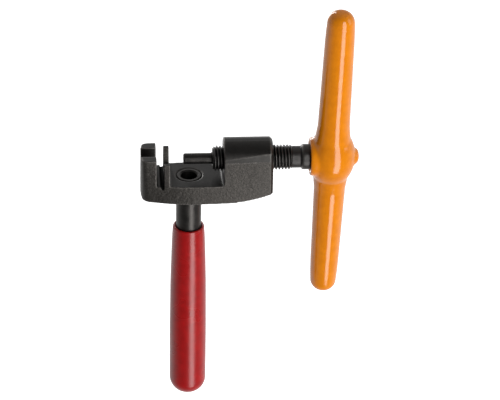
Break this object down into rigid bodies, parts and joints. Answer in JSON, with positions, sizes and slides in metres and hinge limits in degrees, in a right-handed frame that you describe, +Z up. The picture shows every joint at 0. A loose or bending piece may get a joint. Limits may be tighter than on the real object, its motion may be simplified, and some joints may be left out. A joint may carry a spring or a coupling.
{
  "type": "chain tool",
  "caption": "Screw-type bicycle chain tool: a forged head with a chain cradle, a pin driven by a threaded spindle and tee, and a dipped handle.",
  "frame": {"origin": "centre of the chain roller in the cradle: on the spindle's axis, halfway through the tooth wall", "axes": "-X is the way the pin drives, +Z runs up from the handle, and +Y completes a right-handed frame"},
  "size_m": [0.0683, 0.0208, 0.1415],
  "materials": {
    "blackened_steel": "drop-forged steel, blackened, rough on its sides and machined in its recess and crown",
    "rod_steel": "blackened steel bar, satin",
    "red_dip": "red PVC dip, satin",
    "spindle_steel": "blackened turned steel, oiled",
    "pin_steel": "hardened and ground steel, dark",
    "orange_dip": "orange PVC dip, glossy"
  },
  "bodies": {
    "head": {"head_body": "blackened_steel", "handle_rod": "rod_steel", "handle_grip": "red_dip"},
    "pin": {"driving_pin": "pin_steel", "pin_ring": "pin_steel"},
    "screw": {"spindle": "spindle_steel", "tee_bar": "rod_steel", "tee_grip": "orange_dip"}
  },
  "joints": [
    {"name": "pin_feed", "type": "slide", "parent": "head", "child": "pin", "axis": [-1, 0, 0], "range_m": [-0.012, 0.009]},
    {"name": "spindle_turn", "type": "hinge", "parent": "pin", "child": "screw", "pos_m": [0.03, 0, 0], "axis": [-1, 0, 0], "range_deg": [-4320, 3240]}
  ],
  "couplings": [
    {"joint": "pin_feed", "follows": "spindle_turn", "m_per_rad": 0.00015915}
  ]
}
